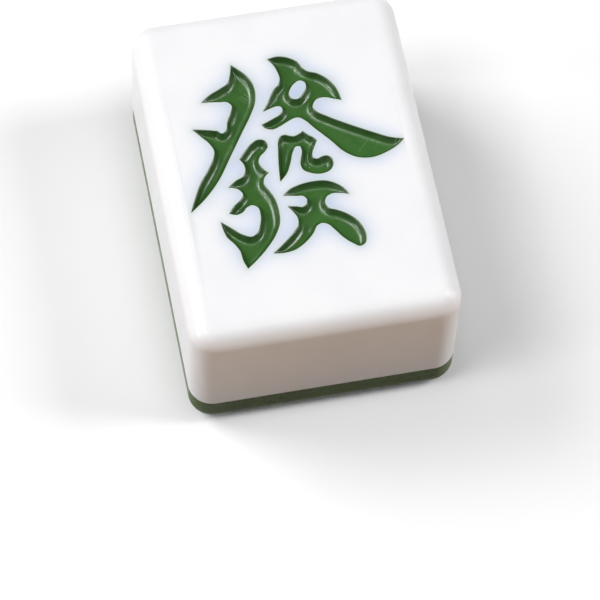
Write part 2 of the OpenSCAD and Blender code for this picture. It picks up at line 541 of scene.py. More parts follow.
def floor_loops(node: bpy.types.Object) -> list[np.ndarray]:
    """Find the edges of a pocket's floor on the underside of its enamel's solid.

    Args:
        node: The enamel's CAD object, which is left as it is.

    Returns:
        The loops, the outer one counter-clockwise first and any island clockwise.
    """
    flat = 0.01 * MM
    mesh = bmesh.new()
    mesh.from_mesh(node.data)
    bmesh.ops.remove_doubles(mesh, verts=mesh.verts, dist=WELD)
    low = min(v.co.z for v in mesh.verts)
    floor = {f for f in mesh.faces if max(v.co.z for v in f.verts) < low + flat}
    beside: dict[bmesh.types.BMVert, list[bmesh.types.BMVert]] = {}
    for edge in mesh.edges:
        if sum(f in floor for f in edge.link_faces) == 1:
            a, b = edge.verts
            beside.setdefault(a, []).append(b)
            beside.setdefault(b, []).append(a)
    loops = []
    while beside:
        last, (here, _) = next(iter(beside.items()))
        chain = [last]
        while here is not chain[0]:
            chain.append(here)
            last, here = here, next(v for v in beside[here] if v is not last)
        for vert in chain:
            del beside[vert]
        loops.append(np.array([v.co.xy for v in chain], float))
    mesh.free()
    loops.sort(key=lambda loop: -abs(signed_area(loop)))
    return [loop if (signed_area(loop) > 0) == (i == 0) else loop[::-1] for i, loop in enumerate(loops)]


def signed_area(loop: np.ndarray) -> float:
    """Give a loop's area, above zero where it runs counter-clockwise."""
    x, y = loop.T
    return 0.5 * float(np.sum(x * np.roll(y, -1) - y * np.roll(x, -1)))


def crossings(points: np.ndarray, loops: list[np.ndarray]) -> np.ndarray:
    """Tell which points lie inside loops, where an island inside a loop counts as outside.

    Args:
        points: The points to test, one row each.
        loops: The closed loops.

    Returns:
        One truth value for each point.
    """
    batch = 4000
    within = np.zeros(len(points), bool)
    for loop in loops:
        ax, ay = loop.T
        bx, by = np.roll(loop, -1, axis=0).T
        fall = np.where(by == ay, 1.0, by - ay)
        for i in range(0, len(points), batch):
            x, y = points[i:i + batch, :1], points[i:i + batch, 1:]
            meets = ((ay > y) != (by > y)) & (x < (bx - ax) * (y - ay) / fall + ax)
            within[i:i + batch] ^= meets.sum(axis=1) % 2 == 1
    return within


def triangulate(points: np.ndarray, loops: list[np.ndarray]) -> np.ndarray:
    """Join points into triangles that keep the edges of the loops.

    Args:
        points: The points, one row each.
        loops: Rows of points that make closed edges.

    Returns:
        Three rows of points for each triangle, counter-clockwise.
    """
    edges = [(int(a), int(b)) for loop in loops for a, b in zip(loop, np.roll(loop, -1))]
    made = delaunay_2d_cdt([Vector(p) for p in points], edges, [], 0, WELD / 10)
    source = np.array([rows[0] for rows in made[3]])
    return source[np.array(made[2])]


def clear_of(points: np.ndarray, tree: KDTree, least: float) -> np.ndarray:
    """Keep the points that lie at least so far from every sample in a tree."""
    return np.array([p for p in points if tree.find((*p, 0.0))[2] >= least]).reshape(-1, 2)


@dataclass
class FacePlan:
    """The flat triangles of the face, fine beside the rims of the sign and coarse elsewhere.

    Attributes:
        border: The loop that the face shares with the rolled edge, counter-clockwise.
        border_gap: How far from the border the rings round the strokes stop.
        sparse_from: How far out from a rim the rings get sparse.
        sparse_stride: How many samples a sparse ring goes on by.
        fan_count: How many points go round the outside of a tip in each ring.
        points: All points of the plan, the border first.
        inside: Which points lie in a pocket, off its rim.
        rims: Pairs of points that are neighbours on a rim.
        land: The triangles of the flat face.
        pockets: The triangles of each pocket.
        shapes: The rims of every stroke.
    """

    border: np.ndarray
    rim_step: float = 0.12 * MM
    floor_step: float = 0.24 * MM
    land_step: float = 2.0 * MM
    support: float = 0.15 * MM
    border_gap: float = 0.195 * MM
    sparse_from: float = 0.1 * MM
    sparse_stride: int = 3
    fan_count: int = 7
    # Spacing and reach of the painted shade among the strokes.
    stroke_shade_step: float = 0.3 * MM
    stroke_shade_w: float = 1.2 * MM
    lip_rings: tuple[float, ...] = tuple(MM * ring for ring in (
        0.012, 0.025, 0.038, 0.05, 0.16, 0.3, 0.5, 0.75, 1.05, 1.4, 1.8, 2.25))
    wall_rings: tuple[float, ...] = tuple(MM * ring for ring in (
        0.015, 0.03, 0.06, 0.12, 0.19, 0.26, 0.32, 0.37, 0.405, 0.44,
        0.48, 0.53, 0.6, 0.68, 0.77, 0.87, 0.97))
    points: np.ndarray = field(init=False)
    inside: np.ndarray = field(init=False)
    rims: list[tuple[int, int]] = field(init=False, default_factory=list)
    land: np.ndarray = field(init=False)
    pockets: dict[Stroke, np.ndarray] = field(init=False, default_factory=dict)
    shapes: list[np.ndarray] = field(init=False)

    CLEAR: ClassVar[float] = 0.97

    def __post_init__(self) -> None:
        """Lay out the strokes and triangulate each pocket and the face between them."""
        outlines = {}
        for stroke in Stroke:
            floors = floor_loops(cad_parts[stroke.value])
            outlines[stroke] = [Outline.through(floor, self.rim_step) for floor in floors]
        edges = np.vstack([edge.points for rows in outlines.values() for edge in rows])
        tree = self.tree_of(edges)
        self.points = self.border
        self.inside = np.zeros(len(self.border), bool)
        border_rows = np.arange(len(self.border))
        rim_rows: list[np.ndarray] = []
        for stroke, rows in outlines.items():
            loops = [self.keep(edge.points, False) for edge in rows]
            for loop in loops:
                self.rims += zip(loop.tolist(), np.roll(loop, -1).tolist())
            extra = self.pocket_points(rows, tree)
            used = np.concatenate([*loops, self.keep(extra, True)])
            self.pockets[stroke] = self.region(used, loops, [edge.points for edge in rows], True)
            rim_rows += loops
        around = self.keep(self.land_points(outlines, tree), False)
        used = np.concatenate([border_rows, *rim_rows, around])
        self.shapes = [edge.points for rows in outlines.values() for edge in rows]
        self.land = self.region(used, [border_rows, *rim_rows], self.shapes, False)

    def surrounded(self, points: np.ndarray) -> np.ndarray:
        """Work out how much of the sign lies round each of some points.

        Args:
            points: The points, one row each.

        Returns:
            A share for each point, which is 1 deep inside a broad stroke.
        """
        half = np.abs(self.border).max(axis=0)
        dots = self.lattice(-half, half, self.stroke_shade_step)
        dots = dots[crossings(dots, self.shapes)]
        weight = self.stroke_shade_step ** 2 * ROW_RISE / (2 * pi * self.stroke_shade_w ** 2)
        total = np.zeros(len(points))
        for dot in dots:
            away = ((points - dot) ** 2).sum(axis=1)
            total += weight * np.exp(-away / (2 * self.stroke_shade_w ** 2))
        return total

    @staticmethod
    def tree_of(points: np.ndarray) -> KDTree:
        """Make a tree that finds the nearest of some points.

        Args:
            points: The points, one row each.

        Returns:
            The tree.
        """
        tree = KDTree(len(points))
        for i, point in enumerate(points):
            tree.insert((*point, 0.0), i)
        tree.balance()
        return tree

    def keep(self, points: np.ndarray, inside: bool) -> np.ndarray:
        """Add points to the plan.

        Args:
            points: The points, one row each.
            inside: Whether they lie in a pocket, off its rim.

        Returns:
            Their rows in the plan.
        """
        first = len(self.points)
        self.points = np.vstack([self.points, points])
        self.inside = np.concatenate([self.inside, np.full(len(points), inside)])
        return np.arange(first, first + len(points))

    def region(self, rows: np.ndarray, loops: list[np.ndarray], shapes: list[np.ndarray],
               inside: bool) -> np.ndarray:
        """Triangulate one region of the plan.

        Args:
            rows: The rows of its points.
            loops: The rows of its closed edges.
            shapes: The rims of the strokes that decide what belongs to it.
            inside: Whether it lies inside those rims or outside.

        Returns:
            Three rows of the plan for each triangle.
        """
        where = np.full(len(self.points), -1)
        where[rows] = np.arange(len(rows))
        triangles = rows[triangulate(self.points[rows], [where[loop] for loop in loops])]
        centres = self.points[triangles].mean(axis=1)
        return triangles[crossings(centres, shapes) == inside]

    def ring(self, edges: list[Outline], offset: float, tree: KDTree, between: bool) -> np.ndarray:
        """Offset the rims, and leave out points that come nearer to another stretch of rim.

        Args:
            edges: The rims.
            offset: How far into the stroke, or out of it if below zero.
            tree: Finds the nearest sample of any rim.
            between: Whether the points lie between the rims' samples or beside them.

        Returns:
            The points, one row each.
        """
        stride = 1 if offset > -self.sparse_from else self.sparse_stride
        moved = np.vstack([edge.beside(offset, between)[::stride] for edge in edges])
        return clear_of(moved, tree, self.CLEAR * abs(offset))

    @staticmethod
    def lattice(low: np.ndarray, high: np.ndarray, step: float) -> np.ndarray:
        """Fill a box with points in staggered rows.

        Args:
            low: The box's lowest corner.
            high: Its highest corner.
            step: The distance between points.

        Returns:
            The points, one row each.
        """
        rise = step * ROW_RISE
        rows = np.arange(low[1], high[1] + rise, rise)
        return np.vstack([np.column_stack([x, np.full(len(x), y)]) for i, y in enumerate(rows)
                          for x in [np.arange(low[0] + step / 2 * (i % 2), high[0] + step, step)]])

    def pocket_points(self, edges: list[Outline], tree: KDTree) -> np.ndarray:
        """Choose the points inside one pocket.

        Args:
            edges: The pocket's rims.
            tree: Finds the nearest sample of any rim.

        Returns:
            The points, one row each.
        """
        shapes = [edge.points for edge in edges]
        rings = [self.ring(edges, offset, tree, i % 2 == 0) for i, offset in enumerate(self.wall_rings)]
        floor = self.lattice(shapes[0].min(axis=0), shapes[0].max(axis=0), self.floor_step)
        clear = self.wall_rings[-1] + self.floor_step / 2
        floor = clear_of(floor[crossings(floor, shapes)], tree, clear)
        return np.vstack([*rings, floor])

    def land_points(self, outlines: dict[Stroke, list[Outline]], tree: KDTree) -> np.ndarray:
        """Choose the points of the flat face, outside the rims and inside the border.

        Args:
            outlines: The rims of every stroke.
            tree: Finds the nearest sample of any rim.

        Returns:
            The points, one row each.
        """
        edges = [edge for rows in outlines.values() for edge in rows]
        rings = [self.ring(edges, -offset, tree, i % 2 == 0) for i, offset in enumerate(self.lip_rings)]
        for edge in edges:
            for row in np.flatnonzero(edge.tip):
                for offset in self.lip_rings:
                    rings.append(clear_of(self.fan(edge, row, offset), tree, self.CLEAR * offset))
        half = np.abs(self.border).max(axis=0)
        held = self.border * (1 - self.support / half)
        near = np.vstack(rings)
        near = near[(np.abs(near) < half - self.border_gap).all(axis=1)]
        land = self.lattice(-half, half, self.land_step)
        inner = (np.abs(land) < half - self.land_step / 2).all(axis=1)
        outside = ~crossings(land, [edge.points for edge in edges])
        land = clear_of(land[inner & outside], tree, self.lip_rings[-1] + self.land_step / 2)
        return np.vstack([near, held, land])

    def fan(self, edge: Outline, row: int, offset: float) -> np.ndarray:
        """Place points round the outside of a sharp tip.

        Args:
            edge: The rim.
            row: The tip's row in it.
            offset: How far out the points lie.

        Returns:
            The points, one row each.
        """
        before = -edge.inward[row - 1]
        after = -edge.inward[(row + 1) % len(edge.points)]
        shares = np.linspace(0.0, 1.0, self.fan_count)[:, None]
        ways = before * (1 - shares) + after * shares
        ways /= np.linalg.norm(ways, axis=1)[:, None]
        return edge.points[row] + offset * ways


@dataclass(frozen=True)
class Grain:
    """A soft noise, and the range that a finish takes from it.

    Attributes:
        scale: How many lumps there are in a millimetre.
        layers: How many layers of finer lumps there are.
        low: The noise at which the range starts.
        high: The noise at which it ends.
        start: The answer at low.
        end: The answer at high.
    """

    scale: float
    layers: float
    low: float = 0.3
    high: float = 0.7
    start: float = 0.0
    end: float = 1.0

    def noise(self, graph: Graph, place: bpy.types.NodeSocket) -> bpy.types.NodeSocket:
        """Make the noise at a place, about the middle of 0 to 1."""
        inputs = {"Vector": place, "Scale": self.scale, "Detail": self.layers}
        return graph.add("ShaderNodeTexNoise", inputs).outputs[0]

    def spread(self, graph: Graph, place: bpy.types.NodeSocket) -> bpy.types.NodeSocket:
        """Carry the noise at a place from low and high to start and end."""
        return graph.ramp(self.noise(graph, place), self.low, self.high, self.start, self.end)


class Finish(ABC):
    """A surface finish, made as a material of procedural nodes on Object coordinates in millimetres."""

    slot: ClassVar[Slot]
    WAVES: ClassVar[Grain] = Grain(0.35, 1.0)
    STREAKS: ClassVar[Grain] = Grain(1.0, 3.0)
    STREAK_WAY: ClassVar[tuple[float, float, float]] = (0.12, 0.12, 7.0)

    @abstractmethod
    def paint(self, graph: Graph, place: bpy.types.NodeSocket) -> Inputs:
        """Add the nodes of the finish.

        Args:
            graph: The material's tree.
            place: Where a point lies, in millimetres.

        Returns:
            What goes into the shader's sockets.
        """

    def make(self) -> bpy.types.Material:
        """Make the material.

        Returns:
            The new material.
        """
        material = bpy.data.materials.new(self.slot.value)
        material.use_nodes = True
        material.node_tree.nodes.clear()
        graph = Graph(material.node_tree)
        metres = graph.add("ShaderNodeTexCoord").outputs["Object"]
        place = self.stretched(graph, metres, (1 / MM, 1 / MM, 1 / MM))
        shader = graph.add("ShaderNodeBsdfPrincipled", self.paint(graph, place))
        graph.add("ShaderNodeOutputMaterial", {"Surface": shader.outputs[0]})
        return material

    def streaked(self, graph: Graph, place: bpy.types.NodeSocket, share: float,
                 depth: float) -> bpy.types.NodeSocket:
        """Make the bumped normal of a surface worn by rubbing, with slow waves and level streaks.

        Args:
            graph: The material's tree.
            place: Where a point lies, in millimetres.
            share: How high the streaks stand beside the waves.
            depth: How high the waves stand.

        Returns:
            The socket with the normal.
        """
        streaks = self.STREAKS.noise(graph, self.stretched(graph, place, self.STREAK_WAY))
        height = graph.math("MULTIPLY_ADD", streaks, share, self.WAVES.noise(graph, place))
        return self.bump(graph, height, depth)

    @staticmethod
    def read_mark(graph: Graph, mark: Mark) -> bpy.types.NodeSocket:
        """Read a mark that the plan of the face has left on the points."""
        return graph.add("ShaderNodeAttribute", attribute_name=mark.value).outputs["Fac"]

    @staticmethod
    def stretched(graph: Graph, place: object, scale: tuple[float, float, float]) -> bpy.types.NodeSocket:
        """Scale a place along each axis."""
        return graph.add("ShaderNodeVectorMath", {0: place, 1: scale}, operation="MULTIPLY").outputs[0]

    @staticmethod
    def bump(graph: Graph, height: object, depth: float) -> bpy.types.NodeSocket:
        """Turn a height into a bumped normal, where a height of 1 stands as high as depth."""
        return graph.add("ShaderNodeBump", {"Strength": 1.0, "Distance": depth, "Height": height}).outputs[0]


@dataclass(frozen=True)
class WhiteMelamine(Finish):
    """Polished white melamine, faintly cloudy, with rubbing streaks along its sides and a rare speck, and
    painted shade among the strokes and right beside their rims.

    Attributes:
        white: The clear colour.
        cloud: The colour of the clouds.
        stroke_shade: The colour of the bluish painted shade where strokes lie all round.
        stain: The colour of the painted shade right beside a rim, tinted green by the enamel.
        smear: The colour of what is left of the enamel on a rim.
        smear_from: The rim's painted shade at which the smear starts.
        smear_to: The rim's painted shade at which it shows most.
        smear_share: How much of the white it then hides.
        speck: The colour of the specks.
        speck_r: Their radius in millimetres.
        speck_scale: How many places for a speck there are in a millimetre.
        rare_from: The chance at which a place starts to show its speck.
        rare_to: The chance at which it shows most.
        speck_share: How much of the white it then hides.
        clouds: Where the clouds lie.
        patches: How uneven the painted shade among the strokes and beside the rims is.
        gloss: The roughness.
        streak_share: How high the streaks stand beside the waves.
        streak_depth: How high the waves stand.
    """

    slot: ClassVar[Slot] = Slot.WHITE
    white: Colour = (0.89, 0.888, 0.9)
    cloud: Colour = (0.865, 0.865, 0.88)
    stroke_shade: Colour = (0.35, 0.48, 0.77)
    stain: Colour = (0.6, 0.66, 0.62)
    smear: Colour = (0.06, 0.13, 0.035)
    smear_from: float = 0.82
    smear_to: float = 0.9
    smear_share: float = 0.85
    speck: Colour = (0.42, 0.4, 0.37)
    speck_r: float = 0.11
    speck_scale: float = 0.3
    rare_from: float = 0.86
    rare_to: float = 0.88
    speck_share: float = 0.8
    clouds: Grain = Grain(0.16, 3.0, 0.38, 0.68)
    patches: Grain = Grain(0.22, 2.0, 0.3, 0.7, 0.9, 1.1)
    gloss: Grain = Grain(0.5, 3.0, 0.3, 0.7, 0.3, 0.4)
    streak_share: float = 0.35
    streak_depth: float = 0.0015 * MM

    def specks(self, graph: Graph, place: bpy.types.NodeSocket) -> bpy.types.NodeSocket:
        """Work out where the specks show.

        Args:
            graph: The material's tree.
            place: Where a point lies, in millimetres.

        Returns:
            The socket with how much of the white they hide.
        """
        cells = graph.add("ShaderNodeTexVoronoi", {"Vector": place, "Scale": self.speck_scale})
        chance = graph.add("ShaderNodeSeparateColor", {0: cells.outputs["Color"]}).outputs[0]
        rare = graph.ramp(chance, self.rare_from, self.rare_to)
        edge = self.speck_r * self.speck_scale
        spot = graph.ramp(cells.outputs["Distance"], edge / 2, edge, 1.0, 0.0)
        return graph.math("MULTIPLY", graph.math("MULTIPLY", spot, rare), self.speck_share)

    def paint(self, graph: Graph, place: bpy.types.NodeSocket) -> Inputs:
        """Add the nodes of the white melamine.

        Args:
            graph: The material's tree.
            place: Where a point lies, in millimetres.

        Returns:
            What goes into the shader's sockets.
        """
        colour = graph.blend(self.clouds.spread(graph, place), self.white, self.cloud)
        patches = self.patches.spread(graph, place)
        # Bluish painted shade where strokes lie all round.
        stroke_shade = graph.math("MULTIPLY", self.read_mark(graph, Mark.STROKE_SHADE), patches)
        colour = graph.blend(stroke_shade, colour, self.stroke_shade)
        # Painted shade right beside the rims, tinted green by the enamel.
        stain = self.read_mark(graph, Mark.RIM_SHADE)
        colour = graph.blend(graph.math("MULTIPLY", stain, patches), colour, self.stain)
        smear = graph.ramp(stain, self.smear_from, self.smear_to, 0.0, self.smear_share)
        colour = graph.blend(smear, colour, self.smear)
        colour = graph.blend(self.specks(graph, place), colour, self.speck)
        return {"Base Color": colour, "Roughness": self.gloss.spread(graph, place),
                "Normal": self.streaked(graph, place, self.streak_share, self.streak_depth)}


@dataclass(frozen=True)
class GreenMelamine(Finish):
    """Polished olive-green melamine with a slow drift of tone and faint rubbing streaks.

    Attributes:
        olive: The paler tone.
        deep: The deeper tone.
        shine: The shader's specular level.
        drift: Where the deeper tone lies.
        gloss: The roughness.
        streak_share: How high the streaks stand beside the waves.
        streak_depth: How high the waves stand.
    """

    slot: ClassVar[Slot] = Slot.GREEN
    olive: Colour = (0.072, 0.118, 0.016)
    deep: Colour = (0.059, 0.1, 0.013)
    shine: float = 0.06
    drift: Grain = Grain(0.2, 4.0, 0.35, 0.68)
    gloss: Grain = Grain(0.6, 3.0, 0.3, 0.7, 0.2, 0.32)
    streak_share: float = 0.4
    streak_depth: float = 0.0015 * MM

    def paint(self, graph: Graph, place: bpy.types.NodeSocket) -> Inputs:
        """Add the nodes of the green melamine.

        Args:
            graph: The material's tree.
            place: Where a point lies, in millimetres.

        Returns:
            What goes into the shader's sockets.
        """
        colour = graph.blend(self.drift.spread(graph, place), self.olive, self.deep)
        return {"Base Color": colour, "Roughness": self.gloss.spread(graph, place),
                "Specular IOR Level": self.shine,
                "Normal": self.streaked(graph, place, self.streak_share, self.streak_depth)}


@dataclass(frozen=True)
class GreenEnamel(Finish):
    """Glossy enamel, brushed into the pockets, with painted shade on their walls, a darker line along the
    brim and painted highlights on a few marks of the cutter.

    Attributes:
        green: The colour on the floors.
        thick: The colour where the enamel has pooled.
        wall: The share of that colour that is left where shade is painted on the walls, and once more along
            the brim, where it makes a darker line.
        wall_from: How far in from the rim the walls start to turn into the floor.
        wall_to: How far in the floor starts.
        brim_from: How far in from the rim the brim starts to fade.
        brim_to: How far in it has faded.
        shine: The shader's specular level.
        cutter_mark_glint: The pale colour that paints the highlights on the cutter's marks.
        marks: Both ends of each mark, in millimetres, and how strongly it shows.
        mark_w: The marks' half width in millimetres.
        pools: Where the enamel has pooled.
        ripples: Where it is uneven.
        ripple_depth: How uneven it is.
        gloss: The roughness.
    """

    slot: ClassVar[Slot] = Slot.ENAMEL
    green: Colour = (0.042, 0.142, 0.022)
    thick: Colour = (0.036, 0.124, 0.018)
    wall: float = 0.66
    wall_from: float = 0.32 * MM
    wall_to: float = 0.48 * MM
    brim_from: float = 0.05 * MM
    brim_to: float = 0.2 * MM
    shine: float = 1.0
    cutter_mark_glint: Colour = (0.3, 0.42, 0.24)
    marks: tuple[tuple[float, float, float, float, float], ...] = (
        (-3.94, 10.14, -3.52, 9.7, 0.5), (-4.32, 9.88, -3.64, 9.17, 0.5), (-4.64, 9.76, -3.96, 8.91, 0.26),
        (-4.35, 10.7, -4.17, 10.38, 0.14), (8.87, 1.75, 7.58, 0.48, 0.24), (6.28, 2.42, 6.81, 1.89, 0.13),
        (6.19, 2.04, 6.58, 1.72, 0.13), (6.64, 2.42, 7.08, 2.04, 0.1), (12.1, 1.1, 11.84, 0.72, 0.75),
        (12.6, 0.96, 12.14, 0.66, 0.75))
    mark_w: float = 0.075
    pools: Grain = Grain(0.7, 3.0, 0.35, 0.7)
    ripples: Grain = Grain(1.6, 2.0)
    ripple_depth: float = 0.0015 * MM
    gloss: Grain = Grain(2.0, 3.0, 0.3, 0.7, 0.28, 0.34)

    def marked(self, graph: Graph, place: bpy.types.NodeSocket) -> bpy.types.NodeSocket:
        """Work out where the painted highlights on the cutter's marks show.

        Args:
            graph: The material's tree.
            place: Where a point lies, in millimetres.

        Returns:
            The socket with how strongly a mark shows.
        """
        flat = self.stretched(graph, place, (1.0, 1.0, 0.0))
        shown = None
        for x0, y0, x1, y1, strength in self.marks:
            run = Vector((x1 - x0, y1 - y0, 0.0))
            start = (x0, y0, 0.0)
            unit = run / run.length_squared
            away = graph.add("ShaderNodeVectorMath", {0: flat, 1: start}, operation="SUBTRACT").outputs[0]
            share = graph.add("ShaderNodeVectorMath", {0: away, 1: unit}, operation="DOT_PRODUCT")
            along = graph.math("ADD", share.outputs["Value"], 0.0, clamp=True)
            foot = graph.add("ShaderNodeVectorMath", {0: run, "Scale": along}, operation="SCALE").outputs[0]
            gap = graph.add("ShaderNodeVectorMath", {0: away, 1: foot}, operation="DISTANCE").outputs["Value"]
            mark = graph.ramp(gap, 0.0, self.mark_w, strength, 0.0)
            shown = mark if shown is None else graph.math("MAXIMUM", shown, mark)
        return shown

    def paint(self, graph: Graph, place: bpy.types.NodeSocket) -> Inputs:
        """Add the nodes of the enamel.

        Args:
            graph: The material's tree.
            place: Where a point lies, in millimetres.

        Returns:
            What goes into the shader's sockets.
        """
        colour = graph.blend(self.pools.spread(graph, place), self.green, self.thick)
        gap = self.read_mark(graph, Mark.GAP)
        # Painted shade on the walls, and a darker line along the brim.
        lit = graph.ramp(gap, self.wall_from, self.wall_to, self.wall, 1.0)
        lit = graph.math("MULTIPLY", lit, graph.ramp(gap, self.brim_from, self.brim_to, self.wall, 1.0))
        colour = graph.add("ShaderNodeVectorMath", {0: colour, "Scale": lit}, operation="SCALE").outputs[0]
        # Painted highlights on the cutter's marks.
        colour = graph.blend(self.marked(graph, place), colour, self.cutter_mark_glint)
        return {"Base Color": colour, "Roughness": self.gloss.spread(graph, place),
                "Specular IOR Level": self.shine,
                "Normal": self.bump(graph, self.ripples.noise(graph, place), self.ripple_depth)}


@dataclass(frozen=True)
class Cement(Finish):
    """Cured cement at the seam, stained by the green of the slab.

    Attributes:
        pale: The clear colour.
        stained: The colour of the stains.
        stains: Where the stains lie.
        grit: Where the grains stand.
        grit_depth: How high they stand.
        roughness: The shader's roughness.
    """

    slot: ClassVar[Slot] = Slot.CEMENT
    pale: Colour = (0.3, 0.34, 0.16)
    stained: Colour = (0.2, 0.26, 0.09)
    stains: Grain = Grain(0.8, 3.0, 0.35, 0.65)
    grit: Grain = Grain(9.0, 2.0)
    grit_depth: float = 0.01 * MM
    roughness: float = 0.6

    def paint(self, graph: Graph, place: bpy.types.NodeSocket) -> Inputs:
        """Add the nodes of the cement.

        Args:
            graph: The material's tree.
            place: Where a point lies, in millimetres.

        Returns:
            What goes into the shader's sockets.
        """
        colour = graph.blend(self.stains.spread(graph, place), self.pale, self.stained)
        return {"Base Color": colour, "Roughness": self.roughness,
                "Normal": self.bump(graph, self.grit.noise(graph, place), self.grit_depth)}


@dataclass(frozen=True)
class PaleFloor:
    """A plain pale floor that keeps the tile's shadow and throws a dimmer light back at the tile.

    Attributes:
        pale: The colour that the camera and the reflections see.
        even: The colour that lights the sides and the head end.
        warm: The colour that lights the near end from afar.
        shade: The colour that lights the near end from close by.
        reach: How far before the near end the shade ends.
        turn: How far behind the near end the even colour starts in full.
        half: Half the floor's width.
        gap: How far it lies under the tile.
    """

    pale: Colour = (0.95, 0.95, 0.955)
    even: Colour = (0.35, 0.35, 0.36)
    warm: Colour = (0.45, 0.2, 0.02)
    shade: Colour = (0.01, 0.005, 0.001)
    reach: float = 40.0 * MM
    turn: float = 6.0 * MM
    half: float = 4.0
    gap: float = 0.02 * MM

    def thrown(self, graph: Graph, near: float) -> bpy.types.NodeSocket:
        """Work out the colour that the floor throws back at the tile.

        Args:
            graph: The material's tree.
            near: Where the tile's near end stands, along Y.

        Returns:
            The socket with the colour.
        """
        place = graph.add("ShaderNodeTexCoord").outputs["Object"]
        along = graph.add("ShaderNodeSeparateXYZ", {0: place}).outputs["Y"]
        before = graph.blend(graph.ramp(along, near - self.reach, near, 1.0, 0.0), self.shade, self.warm)
        return graph.blend(graph.ramp(along, near, near + self.turn), before, self.even)

    def lay(self, tile: "TileSizes") -> None:
        """Make the floor.

        Args:
            tile: The tile that lies on it.
        """
        mesh = bpy.data.meshes.new("floor")
        turns = ((-1, -1), (1, -1), (1, 1), (-1, 1))
        corners = [(x * self.half, y * self.half, tile.back_z - self.gap) for x, y in turns]
        mesh.from_pydata(corners, [], [(0, 1, 2, 3)])
        material = bpy.data.materials.new("pale_floor")
        material.use_nodes = True
        graph = Graph(material.node_tree)
        graph.tree.nodes.clear()
        path = graph.add("ShaderNodeLightPath").outputs
        seen = graph.math("MAXIMUM", path["Is Camera Ray"],
                          graph.math("MAXIMUM", path["Is Glossy Ray"], path["Is Transmission Ray"]))
        colour = graph.blend(seen, self.thrown(graph, -tile.height / 2), self.pale)
        shader = graph.add("ShaderNodeBsdfDiffuse", {"Color": colour})
        graph.add("ShaderNodeOutputMaterial", {"Surface": shader.outputs[0]})
        mesh.materials.append(material)
        floor = bpy.data.objects.new("floor", mesh)
        bpy.context.scene.collection.objects.link(floor)


@dataclass(frozen=True)
class Softbox:
    """A square soft lamp that faces the tile.

    Attributes:
        name: What the lamp is for.
        toward: The way from the tile to the lamp.
        side: The length of its sides.
        radiance: How bright its face is, where 1 is the brightness of a lit white sheet.
        distance: How far it stands from the tile.
    """

    name: str
    toward: tuple[float, float, float]
    side: float
    radiance: float
    distance: float = 1.5

    def hang(self, at: Vector) -> None:
        """Put the lamp in the scene.

        Args:
            at: The point that it faces.
        """
        data = bpy.data.lights.new(self.name, "AREA")
        data.shape = "SQUARE"
        data.size = self.side
        data.energy = self.radiance * pi * self.side ** 2
        lamp = bpy.data.objects.new(self.name, data)
        way = Vector(self.toward).normalized()
        lamp.location = at + way * self.distance
        lamp.rotation_euler = way.to_track_quat("Z", "Y").to_euler()
        bpy.context.scene.collection.objects.link(lamp)


@dataclass(frozen=True)
class Studio:
    """The floor, the soft light all round and the softboxes."""

    sky: Colour = (0.08, 0.08, 0.082)
    floor: PaleFloor = PaleFloor()
    boxes: tuple[Softbox, ...] = (
        Softbox("key_softbox", (-0.64, 0.445, 0.63), 0.8, 6.8),
        Softbox("back_softbox", (-0.52, -0.14, 0.84), 0.55, 5.8),
        Softbox("top_softbox", (0.11, -0.26, 0.96), 0.6, 1.7),
        Softbox("right_softbox", (0.67, -0.1, 0.735), 0.38, 15.0),
        Softbox("left_softbox", (-0.93, -0.1, 0.35), 0.5, 6.8),
        Softbox("side_softbox", (0.95, -0.14, 0.3), 0.6, 6.6),
    )

    def light(self, tile: "TileSizes") -> None:
        """Set up the stage.

        Args:
            tile: The tile that stands on it.
        """
        self.floor.lay(tile)
        world = bpy.data.worlds.new("soft_light")
        world.use_nodes = True
        world.node_tree.nodes["Background"].inputs["Color"].default_value = (*self.sky, 1.0)
        bpy.context.scene.world = world
        for box in self.boxes:
            box.hang(Vector((0.0, 0.0, tile.face_z)))
        bpy.context.scene.view_settings.view_transform = "Standard"


@dataclass(frozen=True)
class Viewpoint:
    """The camera, aimed at a point on the plane of the face.

    Attributes:
        aim: Where the middle of the picture meets that plane.
        azimuth: How far the camera has gone round from the foot of the sign.
        elevation: How high it stands.
        roll: How far it leans.
        distance: How far it is from the aim.
        lens: Its focal length in millimetres.
        sensor: The width of its sensor in millimetres.
    """

    aim: tuple[float, float] = (-2.73 * MM, -17.46 * MM)
    azimuth: float = radians(-14.235)
    elevation: float = radians(62.69)
    roll: float = radians(3.7)
    distance: float = 401.75 * MM
    lens: float = 217.2146
    sensor: float = 36.0

    def shoot(self, tile: "TileSizes") -> None:
        """Put the camera in the scene.

        Args:
            tile: The tile that it looks at.
        """
        flat = cos(self.elevation)
        back = Vector((sin(self.azimuth) * flat, -cos(self.azimuth) * flat, sin(self.elevation)))
        level = Vector((cos(self.azimuth), sin(self.azimuth), 0.0))
        right = level * cos(self.roll) + back.cross(level) * sin(self.roll)
        turn = Matrix((right, back.cross(right), back)).transposed().to_4x4()
        data = bpy.data.cameras.new("camera")
        data.lens = self.lens
        data.sensor_width = self.sensor
        data.sensor_fit = "HORIZONTAL"
        data.clip_start = self.distance / 10
        camera = bpy.data.objects.new("camera", data)
        place = Vector((*self.aim, tile.face_z)) + back * self.distance
        camera.matrix_world = Matrix.Translation(place) @ turn
        bpy.context.scene.collection.objects.link(camera)
        bpy.context.scene.camera = camera


